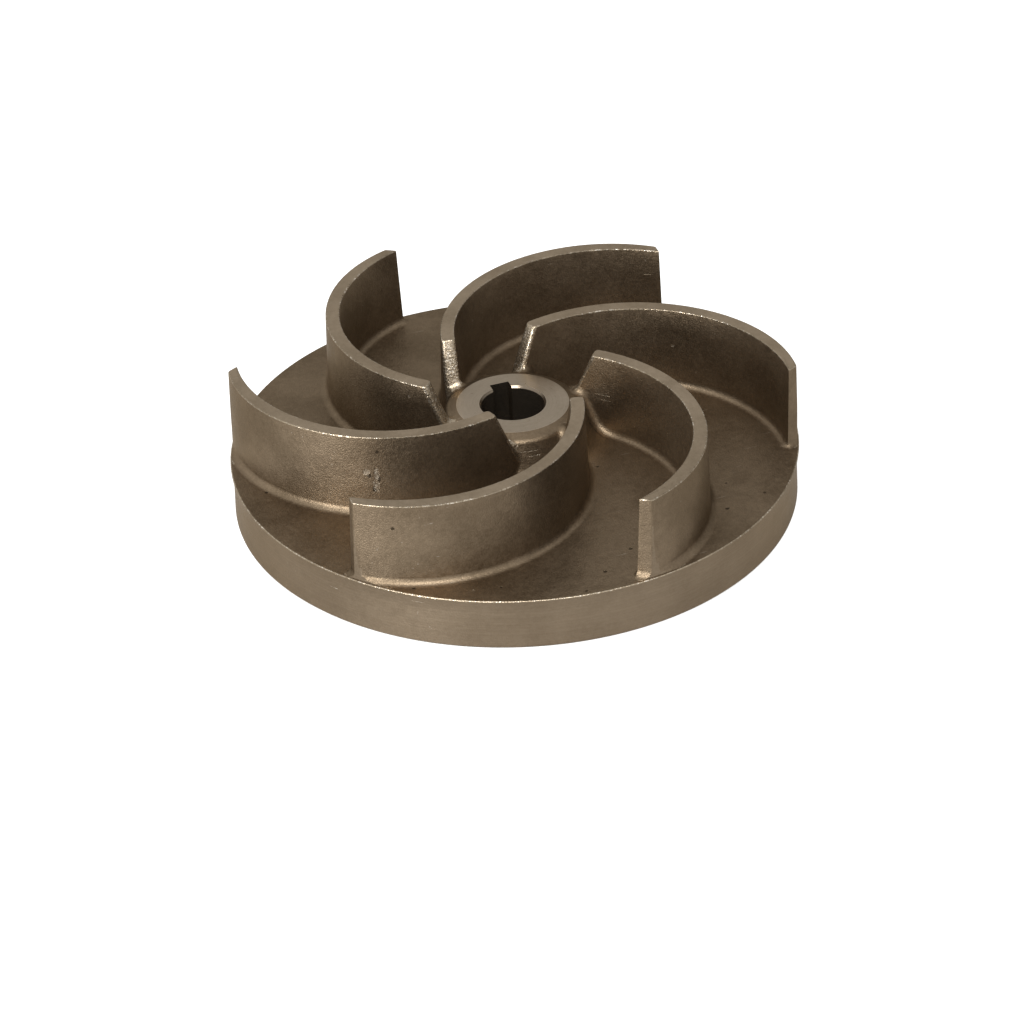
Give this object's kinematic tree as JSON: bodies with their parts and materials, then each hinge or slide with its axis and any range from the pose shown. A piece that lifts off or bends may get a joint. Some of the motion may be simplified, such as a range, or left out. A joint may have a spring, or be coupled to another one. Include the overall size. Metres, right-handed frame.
{
  "type": "pump impeller",
  "caption": "Semi-open pump impeller cast in one piece: a thick back disc with backward-curved vanes, a central hub and a keyed bore.",
  "frame": {"origin": "centre of the bore at the hub's back face", "axes": "+Z along the shaft axis, from the back face towards the inlet side; +Y through the middle of the keyway"},
  "size_m": [0.145, 0.145, 0.036],
  "materials": {
    "cast_steel": "satin cast stainless steel with machined faces"
  },
  "bodies": {
    "root": {"impeller": "cast_steel"}
  },
  "joints": []
}
